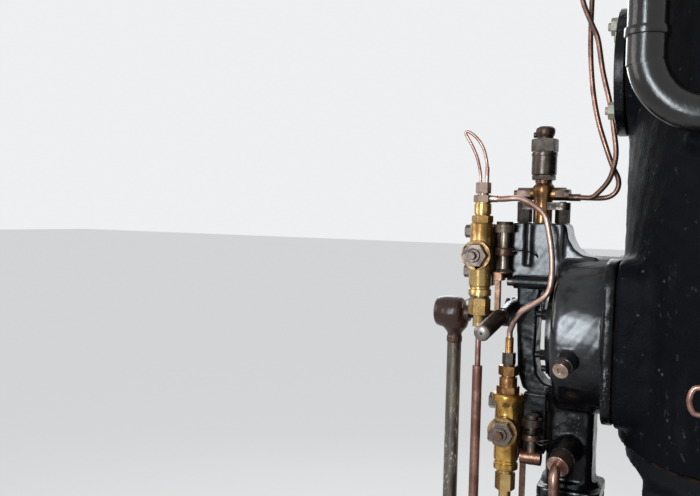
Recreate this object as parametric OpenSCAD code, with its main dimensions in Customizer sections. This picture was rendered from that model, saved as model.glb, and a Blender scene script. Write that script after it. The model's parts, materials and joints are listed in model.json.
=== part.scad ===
// Vertical stationary oil engine, cylinder side with its valve chest and two fuel pumps.
// Millimetres. X runs from the chest to the cylinder, Y away from the front, Z up.
// The origin is on the floor under the axis of the main cylinder.

/* [Main cylinder] */
// Outer radius of the water jacket
jacket_r = 300; // [296:1:304]
// Height of the jacket's lower edge above the floor
jacket_z = 1040; // [1030:1:1050]
// Height of the jacket's top above the floor
jacket_top_z = 2150; // [2140:5:2220]
// Height of the cylinder head
head_h = 170; // [150:5:200]
// Nuts that hold the head
head_nuts_n = 12; // [10:1:14]

/* [Bed] */
// Height of the bed
bed_h = 240; // [220:2:250]
// Half width of the bed, front to back
bed_half_y = 420; // [400:5:440]
// Radius of the foundation bolt holes
bed_hole_r = 15; // [13:1:17]

/* [Valve chest] */
// Height of the neck's axis
neck_z = 1242; // [1240:1:1244]
// Radius of the neck
neck_r = 164; // [160:1:166]
// Height of the chest's top face
chest_top_z = 1472; // [1470:1:1474]
// Left face of the chest's upper block
block_x = -526; // [-527:1:-524]

/* [Fuel pumps] */
// Distance of the pump axes in front of the chest's middle
pump_y = -80; // [-82:1:-80]
// Axis of the upper pump
upper_x = -582; // [-584:1:-581]
// Axis of the lower pump
lower_x = -515; // [-516:1:-514]
// Radius of the gland rings
gland_r = 31; // [28:1:33]

/* [Pump drive] */
// Axis of the drive rod from the cylinder's middle
rod_x = -648; // [-650:1:-646]
// Radius of the drive rod
rod_r = 15.5; // [14:0.5:16.5]
// Height of the pin in the rod's eye, rod at the low end
eye_z = 1270; // [1269:1:1271]
// Length of the rocker arm from its pivot to the eye pin
arm_len = 110; // [108:1:112]
// Radius of the hand lever's grip
grip_r = 16; // [14:0.5:17]
// Running clearance of rods and pins
run_gap = 1; // [0.8:0.1:1.2]

/* [Hidden] */
$fn = 40;
rod_y = -35;
pivot_y = rod_y + arm_len;
pivot_z = eye_z + 8;
bed_x0 = -760;
bed_x1 = 440;
block_x1 = -416;
valve_x = -471;
plunger_x = -533;
plunger_low_x = -463;
pump_low_z = 1040;
pump_up_z = 1402;
col_x = -393;
foot_z = 900;
cross_z = 790;
arm_x = -527;
front_y = -108;
// The water pipe stands this far from the cylinder's axis, at this angle
pipe_a = 234.1;
pipe_r = jacket_r + 126;
// Face of the bosses of the oil loop
loop_y = -sqrt(pow(jacket_r, 2) - pow(100, 2)) - 17;

// A round bar between two points.
module bar(p, q, r) {
  d = q - p;
  h = norm(d);
  translate(p)
    rotate([0, acos(d[2] / h), atan2(d[1], d[0])])
      cylinder(h = h, r = r, $fn = 24);
}

// Direction of a pipe at point i of its list.
function dir(p, i) =
  let (a = p[max(i - 1, 0)], b = p[min(i + 1, len(p) - 1)], d = b - a) d / norm(d);

// One ring of a pipe, square to its direction; ref is never along the pipe.
function ring(c, t, r, ref, n) =
  let (u0 = cross(t, ref), u = u0 / norm(u0), v = cross(t, u))
    [for (k = [0 : n - 1]) c + r * (cos(k * 360 / n) * u + sin(k * 360 / n) * v)];

// A bent pipe through a list of points.
module bent(pts, r, ref = [0, 1, 0], n = 14) {
  m = len(pts);
  rings = [for (i = [0 : m - 1]) ring(pts[i], dir(pts, i), r, ref, n)];
  points = [for (g = rings) each g];
  sides = [for (i = [0 : m - 2], k = [0 : n - 1])
    let (a = i * n + k, b = i * n + (k + 1) % n)
      each [[a, a + n, b + n], [a, b + n, b]]];
  first = [for (k = [0 : n - 1]) k];
  last = [for (k = [n - 1 : -1 : 0]) (m - 1) * n + k];
  polyhedron(points = points, faces = concat(sides, [first, last]), convexity = 6);
}

// A round piece along X, starting at x.
module along_x(x, y, z, h, r, n = 48) {
  translate([x, y, z]) rotate([0, 90, 0]) cylinder(h = h, r = r, $fn = n);
}

// A round piece along Y, starting at y.
module along_y(x, y, z, h, r, n = 48) {
  translate([x, y + h, z]) rotate([90, 0, 0]) cylinder(h = h, r = r, $fn = n);
}

// A round piece along Z, starting at z.
module along_z(x, y, z, h, r, n = 48) {
  translate([x, y, z]) cylinder(h = h, r = r, $fn = n);
}

// A chamfered hexagon nut standing on z, turned a little.
module nut_z(x, y, z, h, r) {
  translate([x, y, z])
    rotate([0, 0, 15])
      intersection() {
        cylinder(h = h, r = r, $fn = 6);
        rotate_extrude($fn = 48)
          polygon([[0, 0], [r * 0.9, 0], [r + 0.5, r * 0.08], [r + 0.5, h - r * 0.08],
            [r * 0.9, h], [0, h]]);
      }
}

// A turned piece standing on z, given by radius and height pairs.
module turned(x, y, z, profile) {
  translate([x, y, z]) rotate_extrude($fn = 64) polygon(profile);
}

// A block given by its corner and far corner.
module block(a, b) {
  translate(a) cube(b - a);
}

// A plate with round corners, standing on z.
module pad(x0, x1, y0, y1, z, h, r) {
  translate([0, 0, z])
    linear_extrude(h)
      translate([x0 + r, y0 + r])
        offset(r = r) square([x1 - x0 - 2 * r, y1 - y0 - 2 * r]);
}

// A plate with round corners whose thickness runs along X.
module pad_x(x, h, y0, y1, z0, z1, r) {
  translate([x, 0, 0])
    rotate([90, 0, 90])
      linear_extrude(h)
        translate([y0 + r, z0 + r])
          offset(r = r) square([y1 - y0 - 2 * r, z1 - z0 - 2 * r]);
}

module bedplate() color([0.08, 0.08, 0.09]) {
  difference() {
    union() {
      pad(bed_x0, bed_x1, -bed_half_y, bed_half_y, 0, 45, 40);
      pad(bed_x0 + 70, bed_x1 - 70, -bed_half_y + 70, bed_half_y - 70, 44, bed_h - 44, 50);
      for (x = [bed_x0 + 45, bed_x1 - 45], y = [-bed_half_y + 45, bed_half_y - 45])
        along_z(x, y, 44, 16, 34);
    }
    for (x = [bed_x0 + 45, bed_x1 - 45], y = [-bed_half_y + 45, bed_half_y - 45])
      along_z(x, y, -1, 80, bed_hole_r);
    along_z(rod_x, rod_y, bed_h - 40, 50, rod_r + 4);
  }
}

module frame_trunk() color([0.07, 0.07, 0.08]) {
  pad(-290, 290, -290, 290, bed_h, 40, 50);
  pad(-240, 240, -240, 240, bed_h + 39, jacket_z - bed_h - 78, 60);
  along_z(0, 0, jacket_z - 40, 40, jacket_r - 16, 96);
  block([-170, -262, 440], [170, -200, 860]);
  block([-170, 200, 440], [170, 262, 860]);
}

module door(s) {
  for (y = [s * 262]) {
    translate([0, y, 650])
      rotate([s * -90, 0, 0])
        linear_extrude(18)
          offset(r = 30) square([240, 320], center = true);
    for (x = [-130, 0, 130], z = [-170, 170])
      translate([x, y + s * 17, 650 + z])
        rotate([s * -90, 0, 0]) cylinder(h = 14, r = 13, $fn = 6);
    for (x = [-130, 130])
      translate([x, y + s * 17, 650])
        rotate([s * -90, 0, 0]) cylinder(h = 14, r = 13, $fn = 6);
  }
}

module front_door() color([0.09, 0.09, 0.1]) door(-1);

module back_door() color([0.09, 0.09, 0.1]) door(1);

module cylinder_jacket() color([0.1, 0.1, 0.11]) {
  along_z(0, 0, jacket_z, jacket_top_z - jacket_z, jacket_r, 128);
  along_z(0, 0, jacket_top_z - 50, 50, jacket_r + 38, 128);
  // pad of the chest
  pad_x(-jacket_r, 60, -192, 192, 1082, 1408, 60);
  // pad of the side cover
  along_x(-jacket_r - 4, 0, 1782, 60, 128, 72);
  // pads of the water pipe and oil loop
  along_y(0, -jacket_r - 5, 1651, 40, 58);
  for (z = [1216, 1172]) along_y(-100, loop_y, z, 40, 13, 24);
  along_y(-178, -sqrt(pow(jacket_r, 2) - pow(178, 2)) - 14, 1620, 30, 16, 6);
}

module cylinder_head() color([0.09, 0.09, 0.1]) {
  along_z(0, 0, jacket_top_z, 60, jacket_r + 38, 128);
  along_z(0, 0, jacket_top_z + 59, head_h - 79, jacket_r - 70, 96);
  translate([0, 0, jacket_top_z + head_h - 21])
    cylinder(h = 21, r1 = jacket_r - 70, r2 = jacket_r - 110, $fn = 96);
  // boss of the water pipe, turned to the front left
  rotate([0, 0, pipe_a])
    translate([jacket_r - 90, 0, jacket_top_z + 105])
      rotate([0, 90, 0]) cylinder(h = 142, r = 44, $fn = 48);
  // boss of the small pipes
  along_x(-jacket_r - 20, 0, jacket_top_z + 105, 120, 22);
}

module head_nuts() color([0.2, 0.19, 0.18]) {
  for (i = [0 : head_nuts_n - 1])
    rotate([0, 0, pipe_a + (i + 0.5) * 360 / head_nuts_n]) {
      along_z(jacket_r + 2, 0, jacket_top_z + 60, 26, 22, 6);
      along_z(jacket_r + 2, 0, jacket_top_z + 86, 16, 12, 24);
    }
}

module side_cover() color([0.1, 0.1, 0.11]) {
  along_x(-jacket_r - 24, 0, 1782, 20, 128, 72);
  along_x(-jacket_r - 30, 0, 1782, 10, 60, 48);
}

module side_cover_bolts() color([0.7, 0.66, 0.55]) {
  for (a = [56, 124, 236, 304])
    translate([-jacket_r - 24, 0, 1782])
      rotate([a, 0, 0])
        translate([0, 100, 0])
          rotate([0, -90, 0]) {
            cylinder(h = 14, r = 18, $fn = 6);
            cylinder(h = 20, r = 8, $fn = 24);
          }
}

module valve_chest() color([0.06, 0.06, 0.07]) {
  difference() {
    union() {
      // neck and its flange
      translate([-422, 0, neck_z])
        rotate([0, 90, 0])
          rotate_extrude($fn = 96)
            polygon([[0, 0], [neck_r - 16, 0], [neck_r - 7, 2.5], [neck_r - 2, 8], [neck_r, 16],
              [neck_r, 422 - jacket_r], [0, 422 - jacket_r]]);
      pad_x(-jacket_r - 20, 20, -188, 188, 1086, 1404, 60);
      // upper block
      pad(block_x, block_x1, -55, 55, 1348, chest_top_z - 1348, 6);
      block([-460, -50, 1350], [-410, 50, 1400]);
      // shoulder from the block down into the neck
      translate([0, 50, 0])
        rotate([90, 0, 0])
          linear_extrude(100)
            polygon([[-418, 1466], [-412, 1466], [-407, 1440], [-396, 1420], [-378, 1408],
              [-350, 1404], [-350, 1320], [-418, 1320]]);
      // curved arm in front of the end cover, from the block to the column
      translate([0, 32, 0])
        rotate([90, 0, 0])
          linear_extrude(64)
            polygon([[-514, 1352], [-513, 1290], [-512, 1240], [-509, 1190], [-507, 1150],
              [-496, 1118], [-470, 1100], [-430, 1096], [-430, 1126], [-452, 1132],
              [-466, 1150], [-471, 1190], [-470, 1240], [-468, 1300], [-458, 1352]]);
      // lower column with its foot
      pad(col_x - 48, col_x + 48, -50, 50, foot_z + 20, 200, 20);
      pad(col_x - 62, col_x + 66, -68, 68, foot_z, 22, 18);
      along_z(col_x, 0, foot_z + 20, 14, 60, 48);
      // boss of the plug and of the drain
      bar([-378, -140, 1217], [-387, -186, 1200], 19);
      bar([-389, -40, 1010], [-398, -84, 993], 27);
    }
    along_x(-423, 0, neck_z, 30, 70, 72);
    // groove in the front of the upper block
    block([-497, -56, 1380], [-480, -49, chest_top_z + 1]);
  }
}

module chest_end_cover() color([0.08, 0.08, 0.09]) {
  along_x(-440, 0, neck_z, 18, 100, 72);
  along_x(-422, 0, neck_z, 20, 70, 72);
  for (i = [0 : 5])
    translate([-440, 0, neck_z])
      rotate([i * 60 + 30, 0, 0])
        translate([0, 84, 0])
          rotate([0, -90, 0]) {
            cylinder(h = 12, r = 12, $fn = 6);
            cylinder(h = 22, r = 7, $fn = 24);
          }
}

module chest_pedestal() color([0.07, 0.07, 0.08]) {
  pad(col_x - 62, col_x + 66, -68, 68, foot_z - 22, 22, 18);
  pad(col_x - 48, col_x + 48, -50, 50, bed_h + 24, foot_z - bed_h - 45, 20);
  pad(col_x - 75, col_x + 75, -80, 80, bed_h, 25, 20);
}

module fuel_valve_neck() color([0.42, 0.33, 0.2]) {
  z = chest_top_z;
  along_x(valve_x - 26, 0, z + 62, 52, 14, 24);
  turned(valve_x, 0, z, [[0, 0], [20, 0], [20, 46], [21, 54], [23, 62], [24.5, 70],
    [23, 78], [18, 84], [18, 91], [0, 91]]);
}

module fuel_valve_body() color([0.3, 0.27, 0.24]) {
  z = chest_top_z;
  nut_z(valve_x, 0, z + 91, 11, 25);
  turned(valve_x, 0, z + 102, [[0, 0], [25, 0], [26.5, 2], [26.5, 40], [27.5, 41], [27.5, 48],
    [26, 50], [0, 50]]);
  nut_z(valve_x, 0, z + 151, 28, 28.5);
  turned(valve_x, 0, z + 178, [[0, 0], [16.5, 0], [17, 5], [19.5, 10], [21, 17], [20, 23],
    [15, 27], [0, 28.5]]);
  along_x(valve_x - 24, 0, z + 188, 10, 6, 24);
}

module valve_clamp() color([0.2, 0.18, 0.16]) {
  z = chest_top_z;
  difference() {
    pad(valve_x - 54, valve_x + 58, -17, 17, z + 28, 16, 15);
    along_z(valve_x, 0, z + 20, 40, 20.5);
  }
  for (x = [valve_x - 38, valve_x + 42]) {
    nut_z(x, 0, z, 28.5, 16);
    along_z(x, 0, z + 20, 26, 7, 24);
  }
}

module right_union() color([0.32, 0.29, 0.26]) {
  z = chest_top_z + 62;
  along_x(valve_x + 26, 0, z, 22, 14, 6);
  pad_x(valve_x + 47, 9, -18, 19, z - 14, z + 10, 10);
  along_x(valve_x + 55, -8, z - 7, 22, 7.5, 24);
  along_x(valve_x + 55, 9, z - 7, 22, 7.5, 24);
}

module left_union() color([0.3, 0.27, 0.24]) {
  z = chest_top_z + 62;
  along_x(valve_x - 54, 0, z, 28, 13, 6);
  along_x(valve_x - 62, 0, z, 10, 8, 24);
}

module blast_pipes() color([0.62, 0.4, 0.3]) {
  z = chest_top_z + 55;
  // the run leaves the union's ferrules and keeps its distance from the cylinder's wall
  u = valve_x + 77;
  s = -jacket_r;
  f = (s - u) / 94;
  bent([[u, -8, z], [u + 22 * f, -8, z], [u + 36 * f, -8, 1537], [s - 39, -8, 1560],
    [s - 30, -8, 1584], [s - 25, -8, 1619], [s - 31, -8, 1666], [s - 41, -8, 1722],
    [s - 57, -8, 1786], [s - 69, -8, 1852], [s - 82, -8, 1884], [s - 103, -8, 1937],
    [s - 111, -8, 2000], [s - 110, -8, 2120], [s - 98, -9, 2200], [s - 76, -10, 2240],
    [s - 46, -10, jacket_top_z + 105], [s - 20, -10, jacket_top_z + 105]], 5.5);
  bent([[u, 9, z], [u + 44 * f, 9, z], [u + 64 * f, 9, 1534], [s - 20, 9, 1550],
    [s - 21, 9, 1569], [s - 32, 9, 1592], [s - 45, 9, 1627], [s - 61, 9, 1675],
    [s - 71, 9, 1715], [s - 78, 9, 1755], [s - 83, 9, 1801], [s - 86, 9, 1850],
    [s - 86.5, 9, 1905], [s - 85, 9, 2120], [s - 78, 10, 2190], [s - 62, 11, 2226],
    [s - 42, 12, 2246], [s - 20, 12, 2246]], 5.5);
}

module pump_brackets() color([0.07, 0.07, 0.08]) {
  // upper bracket with the plunger's guide
  block([upper_x + 24, -50, 1352], [block_x, -22, 1464]);
  guide(plunger_x, 1402, 16);
  block([plunger_x - 9, pump_y + 14, 1403], [plunger_x + 7, -49, 1417]);
  // lower bracket with the plunger's guide
  block([lower_x + 26, -50, 986], [col_x - 48, -32, 1112]);
  block([lower_x + 26, -33, 986], [col_x - 48, -16, 1094]);
  guide(plunger_low_x, 1021, 14);
  block([plunger_low_x - 9, pump_y + 14, 1022], [plunger_low_x + 9, -49, 1034]);
}

// A ring that guides a plunger.
module guide(x, z, h) {
  difference() {
    along_z(x, pump_y, z, h, 19);
    along_z(x, pump_y, z - 1, h + 2, 10 + run_gap);
  }
}

module upper_pump_body() color([0.6, 0.48, 0.2]) {
  z = pump_up_z;
  // turned barrel with a groove above the foot
  turned(upper_x, pump_y, z - 87, [[0, 0], [23, 0], [24, 1.5], [24, 13], [21.5, 15], [21.5, 19],
    [24, 22], [24, 151], [22.5, 154], [0, 154]]);
  // boss of the gland
  along_y(upper_x, front_y, z, 30, 27);
  // pad against the bracket
  pad(upper_x - 24, upper_x + 24, -68, -30, z - 66, 131, 6);
  bolts(upper_x - 24, [z + 48, z - 38]);
}

module lower_pump_body() color([0.5, 0.38, 0.15]) {
  z = pump_low_z;
  // turned barrel with a wide collar at the top
  turned(lower_x, pump_y, z - 86, [[0, 0], [24, 0], [25.5, 1.5], [25.5, 12], [23, 14], [23, 18],
    [25.5, 21], [25.5, 134], [31, 144], [32.5, 148], [32.5, 157], [30, 160], [0, 160]]);
  // boss of the gland
  along_y(lower_x, front_y, z, 30, 28);
  // pad against the bracket
  pad(lower_x - 26, lower_x + 26, -68, -30, z - 64, 118, 6);
  bolts(lower_x - 26, [z + 48, z - 26], 17);
}

// Heads of the two bolts through a pump body.
module bolts(x, zs, r = 14) {
  for (z = zs) {
    along_x(x - 18, -52, z, 18.3, r, 6);
    along_x(x - 4, -52, z, 5, r + 2, 24);
  }
}

module delivery_fittings() color([0.58, 0.45, 0.2]) {
  z = pump_up_z + 67;
  nut_z(upper_x + 1, pump_y, z, 15.5, 22.5);
  along_z(upper_x + 1, pump_y, z + 15, 4, 16);
  along_z(upper_x + 1, pump_y, z + 19, 21, 18);
  along_z(upper_x + 1, pump_y, z + 40, 3, 16);
  w = pump_low_z + 74;
  nut_z(lower_x, pump_y, w, 15.5, 24);
  along_z(lower_x, pump_y, w + 15, 19, 18.6);
  along_z(lower_x, pump_y, w + 34, 4, 14);
  nut_z(lower_x, pump_y, w + 38, 20, 21);
}

module delivery_nuts() color([0.36, 0.34, 0.31]) {
  z = pump_up_z + 110;
  nut_z(upper_x + 1, pump_y, z, 15.5, 20);
  along_z(upper_x + 1, pump_y, z + 15, 4, 12);
  nut_z(upper_x + 1, pump_y, z + 19, 23, 16);
  along_x(upper_x + 14, pump_y, z + 8, 18, 7.5, 24);
  w = pump_low_z + 132;
  along_z(lower_x, pump_y, w, 3, 12);
  nut_z(lower_x, pump_y, w + 2.5, 25, 14);
  along_z(lower_x, pump_y, w + 27, 32, 8.5, 32);
}

// A gland seen from the front: brass ring, steel hexagon and spindle.
module gland(x, z) {
  along_y(x, front_y - 14, z, 14, gland_r);
  along_y(x, front_y - 32, z, 18.5, gland_r - 5, 6);
  along_y(x, front_y - 38, z, 8, 14);
  along_y(x, front_y - 50, z, 14, 8, 24);
}

module upper_gland() color([0.45, 0.42, 0.34]) gland(upper_x, pump_up_z);

module lower_gland() color([0.4, 0.36, 0.3]) gland(lower_x, pump_low_z);

module suction_fittings() color([0.58, 0.46, 0.2]) {
  z = pump_up_z - 87;
  along_z(upper_x, pump_y, z - 6, 6, 17);
  nut_z(upper_x, pump_y, z - 40, 34.5, 23.5);
  along_z(upper_x, pump_y, z - 66, 26.5, 13);
  w = pump_low_z - 86;
  along_z(lower_x, pump_y, w - 8, 8, 17);
  nut_z(lower_x, pump_y, w - 44, 36.5, 21);
  along_z(lower_x, pump_y, w - 70, 26.5, 13);
}

module suction_pipes() color([0.62, 0.4, 0.32]) {
  z = pump_up_z - 153;
  along_z(upper_x, pump_y, z - 84, 84, 6, 24);
  translate([upper_x, pump_y, z - 96])
    rotate_extrude($fn = 32)
      polygon([[0, 0], [10.5, 0], [10.5, 11], [9, 13], [0, 13]]);
  along_z(upper_x, pump_y, bed_h + 89, z - bed_h - 184, 10.5, 32);
  w = pump_low_z - 156;
  along_z(lower_x, pump_y, bed_h + 89, w - bed_h - 89, 11, 32);
}

module filter_box() color([0.3, 0.29, 0.27]) {
  pad(upper_x - 26, lower_x + 26, pump_y - 40, pump_y + 40, bed_h, 70, 10);
  along_z(upper_x, pump_y, bed_h + 69, 20, 20, 6);
  along_z(lower_x, pump_y, bed_h + 69, 20, 20, 6);
}

module hairpin_pipe() color([0.6, 0.42, 0.3]) {
  z = pump_up_z + 152;
  along_z(-574, pump_y, z, 34, 4.5, 24);
  bent([[-588, pump_y, z], [-588, pump_y, z + 14], [-592, pump_y, 1590],
    [-598, pump_y, 1610], [-609, pump_y, 1633], [-621, pump_y, 1653], [-623, pump_y, 1660], [-616, pump_y, 1661], [-597, pump_y, 1646],
    [-583, pump_y, 1624], [-576, pump_y, 1598], [-574, pump_y, 1583]], 3.4);
}

module transfer_pipe() color([0.65, 0.43, 0.34]) {
  bent([[upper_x + 32, pump_y, 1520], [-538, pump_y, 1520], [-509, -82, 1522],
    [-488, -86, 1516], [-464, -91, 1502], [-447, -95, 1484], [-438, -98, 1450],
    [-432, -98, 1412], [-430, -98, 1373], [-433, -98, 1341], [-442, -97, 1324],
    [-458, -94, 1311], [-476, -91, 1299], [-489, -89, 1289], [-500, -86, 1276],
    [-507, -84, 1264], [-512, -82, 1253], [lower_x, pump_y, 1243],
    [lower_x, pump_y, 1231]], 6.4);
}

module upper_plunger() color([0.42, 0.42, 0.38]) {
  x = plunger_x;
  // stem with its disc and black cap
  along_z(x, pump_y, 1364, 108, 10);
  along_z(x, pump_y, 1450, 16, 20);
  along_z(x, pump_y, 1465, 8, 17);
  // cone and the lug below it
  turned(x, pump_y, 1366, [[0, 0], [18, 0], [18, 2], [11, 8], [0, 8]]);
  pad(x - 20, x + 3, pump_y - 14, pump_y + 14, 1350, 17, 5);
  // flat link down to the rocker arm
  link_x = x - 10;
  difference() {
    union() {
      block([link_x - 5, pump_y - 8, 1260], [link_x + 5, pump_y + 8, 1351]);
      along_x(link_x - 5, pump_y, eye_z - 3, 10, 15);
    }
    along_x(link_x - 8, pump_y, eye_z - 3, 16, 8, 24);
  }
}

module lower_plunger() color([0.4, 0.4, 0.36]) {
  x = plunger_low_x;
  along_z(x, pump_y, 972, 102, 10);
  along_z(x, pump_y, 1051, 15, 20);
  along_z(x, pump_y, 1065, 9, 13);
  along_x(x - 21, pump_y, 985, 42, 15);
  difference() {
    block([x - 21, pump_y - 8, cross_z + 12], [x - 11, pump_y + 8, 980]);
    along_x(x - 30, pump_y, cross_z + 24, 30, 6, 24);
  }
}

module drive_rod() color([0.4, 0.39, 0.35]) {
  along_z(rod_x, rod_y, bed_h + 12, eye_z - 66 - bed_h - 12, rod_r);
}

module rod_eye() color([0.2, 0.12, 0.09]) {
  difference() {
    union() {
      translate([rod_x - 22, rod_y, eye_z])
        rotate([0, 90, 0])
          rotate_extrude($fn = 64)
            polygon([[0, -20], [27, -20], [31, -17.5], [33.5, -10], [35, 0], [35.5, 14], [35, 26],
              [33, 35], [28, 41], [19, 44], [18, 57], [0, 57]]);
      turned(rod_x, rod_y, eye_z - 66, [[0, 0], [17, 0], [17, 13], [15.5, 14], [16, 20],
        [20, 26], [27, 34], [30, 44], [30, 60], [0, 60]]);
    }
    along_x(rod_x - 50, rod_y, eye_z, 100, 11 + run_gap);
  }
}

module cross_arm() color([0.15, 0.14, 0.14]) {
  difference() {
    union() {
      along_z(rod_x, rod_y, cross_z, 40, 34);
      block([rod_x, rod_y - 12, cross_z + 4], [plunger_low_x + 1, rod_y + 12, cross_z + 34]);
    }
    along_z(rod_x, rod_y, cross_z - 8, 60, rod_r);
  }
  block([plunger_low_x - 11, pump_y - 10, cross_z + 4], [plunger_low_x + 1, rod_y, cross_z + 34]);
  along_x(plunger_low_x - 26, pump_y, cross_z + 24, 20, 6, 24);
}

module rod_guide() color([0.1, 0.1, 0.11]) {
  difference() {
    union() {
      along_z(rod_x, rod_y, bed_h, 16, 37);
      along_z(rod_x, rod_y, bed_h, 110, 32);
    }
    along_z(rod_x, rod_y, bed_h - 1, 120, rod_r + run_gap);
  }
}

module rocker_arm() color([0.12, 0.11, 0.11]) {
  difference() {
    union() {
      translate([arm_x - 7, 0, 0])
        rotate([90, 0, 90])
          linear_extrude(14)
            polygon([[pivot_y + 6, pivot_z + 24], [pivot_y, pivot_z - 24], [rod_y, eye_z - 20],
              [pump_y, eye_z - 17], [-93, 1262], [-93, 1293], [rod_y, 1302]]);
      along_x(arm_x - 19, pivot_y, pivot_z, 32, 24);
      along_x(arm_x - 12, rod_y, eye_z, 19, 20);
    }
    along_x(arm_x - 30, pivot_y, pivot_z, 60, 12 + run_gap);
  }
  along_x(rod_x - 46, rod_y, eye_z, arm_x - rod_x + 39, 11);
  along_x(rod_x - 46, rod_y, eye_z, 3, 15, 24);
  along_x(arm_x - 25, pump_y, eye_z - 3, 20, 6, 24);
  along_x(arm_x - 27, pump_y, eye_z - 3, 4, 10, 24);
}

module rocker_bracket() color([0.08, 0.08, 0.09]) {
  along_x(-509, pivot_y, pivot_z, 40, 26);
  block([-507, 32, pivot_z - 18], [-471, pivot_y, pivot_z + 18]);
  along_x(arm_x - 34, pivot_y, pivot_z, 60, 12);
  along_x(arm_x - 34, pivot_y, pivot_z, 10, 20, 6);
}

module hand_lever() color([0.33, 0.31, 0.3]) {
  bar([arm_x, -94.2, 1281.8], [arm_x, -128, 1278], 10);
  difference() {
    union() {
      bar([arm_x, -124, 1278.4], [arm_x, -262, 1262.7], grip_r);
      bar([arm_x, -261, 1262.8], [arm_x, -265, 1262.35], grip_r - 2);
      bar([arm_x, -264, 1262.46], [arm_x, -267.2, 1262.1], grip_r - 5.5);
    }
    bar([arm_x, -262, 1262.7], [arm_x, -272, 1261.5], 2.5);
  }
}

module regulator_bar() color([0.12, 0.12, 0.12]) {
  along_x(-511, -72, 1348, 89, 14);
  along_x(-525, -72, 1348, 15, 9.5);
  block([-450, -70, 1336], [-426, -55, 1360]);
}

module test_plug() color([0.62, 0.5, 0.28]) {
  difference() {
    bar([-387, -186, 1200], [-390.15, -202.1, 1194.05], 15.5);
    bar([-389.6, -199.3, 1195.1], [-390.7, -204.9, 1193], 6);
  }
}

module drain_union() color([0.5, 0.3, 0.22]) {
  bar([-398, -84, 993], [-403.4, -110.4, 982.8], 23);
}

module drain_pipe() color([0.6, 0.36, 0.28]) {
  bent([[-403.4, -110.4, 982.8], [-404.9, -117.7, 980], [-406, -126, 972], [-406, -130, 958],
    [-405, -130, 930],
    [-404, -130, bed_h]], 11, [1, 0, 0]);
}

module water_pipe() color([0.1, 0.1, 0.11]) {
  d = [cos(pipe_a), sin(pipe_a), 0];
  x = pipe_r * d[0];
  y = pipe_r * d[1];
  z = jacket_top_z + 105;
  low = [for (a = [0 : 11.25 : 90]) [x + 100 - 100 * cos(a), y, 1751 - 100 * sin(a)]];
  in = [for (a = [0 : 15 : 90]) [-34 + 34 * sin(a), y + 34 - 34 * cos(a), 1651]];
  last = [0, -jacket_r - 5, 1651];
  top = [for (a = [0 : 15 : 75]) [x, y, z - 60] + 60 * [0, 0, 1] * cos(a) - 60 * d * (1 - sin(a))];
  bent(concat([(jacket_r + 60) * d + [0, 0, z]], top, low, in, [last]), 32, [0.5, -0.5, 0.7], 28);
  rotate([0, 0, pipe_a])
    translate([jacket_r + 52, 0, z])
      rotate([0, 90, 0]) cylinder(h = 14, r = 56, $fn = 48);
  along_z(x, y, 1777, 14, 36);
  along_y(0, -jacket_r - 18, 1651, 13, 56);
}

module oil_loop() color([0.6, 0.4, 0.3]) {
  y = loop_y - 30;
  bent([[-100, loop_y, 1216], [-100, y + 6, 1216], [-108, y, 1216], [-151, y, 1216],
    [-161, y, 1210], [-165, y, 1198], [-165, y, 1187], [-159, y, 1177], [-151, y, 1172],
    [-108, y, 1172], [-100, y + 6, 1172], [-100, loop_y, 1172]], 5, [0.3, 0.7, 0.5]);
}

bedplate();
frame_trunk();
front_door();
back_door();
cylinder_jacket();
cylinder_head();
head_nuts();
side_cover();
side_cover_bolts();
valve_chest();
chest_end_cover();
chest_pedestal();
fuel_valve_neck();
fuel_valve_body();
valve_clamp();
right_union();
left_union();
blast_pipes();
pump_brackets();
upper_pump_body();
lower_pump_body();
delivery_fittings();
delivery_nuts();
upper_gland();
lower_gland();
suction_fittings();
suction_pipes();
filter_box();
hairpin_pipe();
transfer_pipe();
upper_plunger();
lower_plunger();
drive_rod();
rod_eye();
cross_arm();
rod_guide();
rocker_arm();
rocker_bracket();
hand_lever();
regulator_bar();
test_plug();
drain_union();
drain_pipe();
water_pipe();
oil_loop();
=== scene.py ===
"""Looks of a vertical oil engine's cylinder side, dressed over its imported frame.

Metres throughout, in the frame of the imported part: the origin is on the floor under the
main cylinder's axis, X runs from the chest to the cylinder, Y away from the front, Z up.
"""

from __future__ import annotations

import enum
import json
import logging
import math
from dataclasses import dataclass
from typing import Any, Callable, Sequence

import bmesh
import bpy
import numpy as np
from mathutils import Matrix, Vector

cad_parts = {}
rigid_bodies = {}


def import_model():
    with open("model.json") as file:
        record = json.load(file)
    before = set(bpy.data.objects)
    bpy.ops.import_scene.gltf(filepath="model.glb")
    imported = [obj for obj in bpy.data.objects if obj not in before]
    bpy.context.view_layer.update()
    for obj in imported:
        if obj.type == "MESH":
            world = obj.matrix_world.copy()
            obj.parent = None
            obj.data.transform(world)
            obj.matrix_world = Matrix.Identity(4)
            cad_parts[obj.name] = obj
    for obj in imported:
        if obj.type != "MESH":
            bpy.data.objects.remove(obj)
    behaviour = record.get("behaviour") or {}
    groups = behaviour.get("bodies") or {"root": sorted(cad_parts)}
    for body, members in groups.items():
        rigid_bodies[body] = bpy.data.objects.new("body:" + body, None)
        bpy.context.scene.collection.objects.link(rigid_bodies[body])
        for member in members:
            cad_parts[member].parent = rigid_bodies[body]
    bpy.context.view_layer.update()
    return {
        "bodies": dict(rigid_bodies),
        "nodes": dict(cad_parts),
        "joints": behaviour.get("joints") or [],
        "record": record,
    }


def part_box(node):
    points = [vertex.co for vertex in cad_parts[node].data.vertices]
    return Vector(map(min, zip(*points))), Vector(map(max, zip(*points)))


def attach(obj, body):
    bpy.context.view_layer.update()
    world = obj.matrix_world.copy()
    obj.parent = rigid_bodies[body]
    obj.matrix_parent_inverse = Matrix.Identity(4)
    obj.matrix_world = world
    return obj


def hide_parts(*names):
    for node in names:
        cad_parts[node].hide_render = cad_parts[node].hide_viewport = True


log = logging.getLogger("oil_engine")
Array = np.ndarray
Object = bpy.types.Object
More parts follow.
